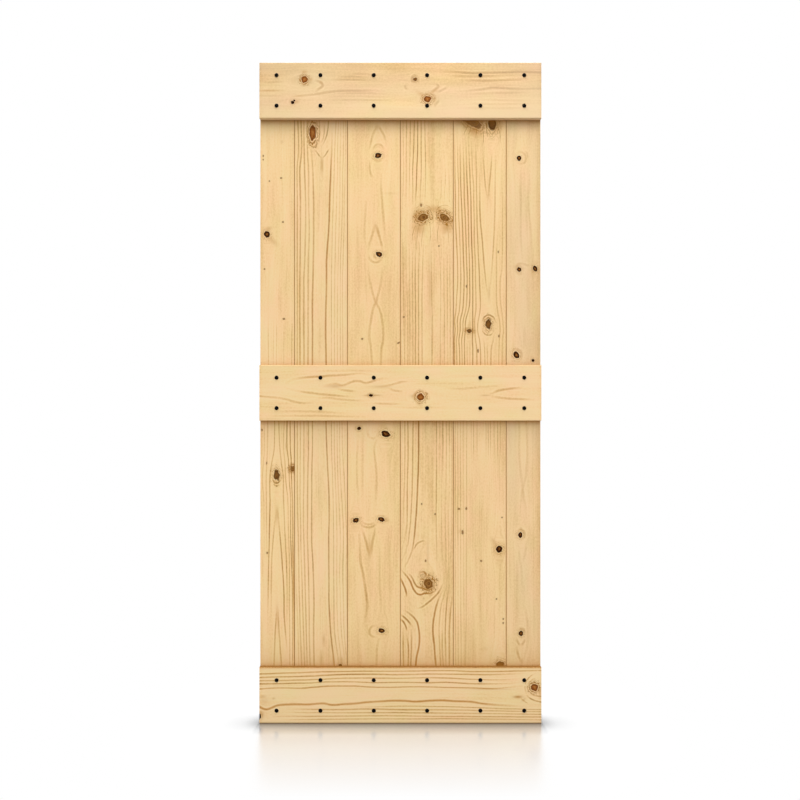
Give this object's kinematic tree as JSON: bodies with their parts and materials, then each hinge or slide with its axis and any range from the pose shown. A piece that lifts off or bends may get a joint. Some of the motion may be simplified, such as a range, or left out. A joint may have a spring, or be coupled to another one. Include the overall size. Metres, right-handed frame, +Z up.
{
  "type": "barn door slab",
  "caption": "Flat barn door slab of vertical tongue-and-groove knotty pine planks joined by three screwed-on horizontal rails, to hang from a sliding track.",
  "frame": {"origin": "middle of the top rail's upper edge, where a hanger plate screws down", "axes": "+X across the door to the right seen from the front, +Y from the front to the back, +Z up"},
  "size_m": [0.9112, 0.038, 2.1336],
  "materials": {
    "plank_pine": "bare sanded knotty pine",
    "rail_pine": "bare sanded knotty pine",
    "black_screw": "black satin coating"
  },
  "bodies": {
    "root": {"left_edge_plank": "plank_pine", "left_outer_plank": "plank_pine", "left_inner_plank": "plank_pine", "right_inner_plank": "plank_pine", "right_outer_plank": "plank_pine", "right_edge_plank": "plank_pine", "top_rail": "rail_pine", "middle_rail": "rail_pine", "bottom_rail": "rail_pine", "top_rail_left_edge_plank_screws": "black_screw", "top_rail_left_outer_plank_screws": "black_screw", "top_rail_left_inner_plank_screws": "black_screw", "top_rail_right_inner_plank_screws": "black_screw", "top_rail_right_outer_plank_screws": "black_screw", "top_rail_right_edge_plank_screws": "black_screw", "middle_rail_left_edge_plank_screws": "black_screw", "middle_rail_left_outer_plank_screws": "black_screw", "middle_rail_left_inner_plank_screws": "black_screw", "middle_rail_right_inner_plank_screws": "black_screw", "middle_rail_right_outer_plank_screws": "black_screw", "middle_rail_right_edge_plank_screws": "black_screw", "bottom_rail_left_edge_plank_screws": "black_screw", "bottom_rail_left_outer_plank_screws": "black_screw", "bottom_rail_left_inner_plank_screws": "black_screw", "bottom_rail_right_inner_plank_screws": "black_screw", "bottom_rail_right_outer_plank_screws": "black_screw", "bottom_rail_right_edge_plank_screws": "black_screw"}
  },
  "joints": []
}
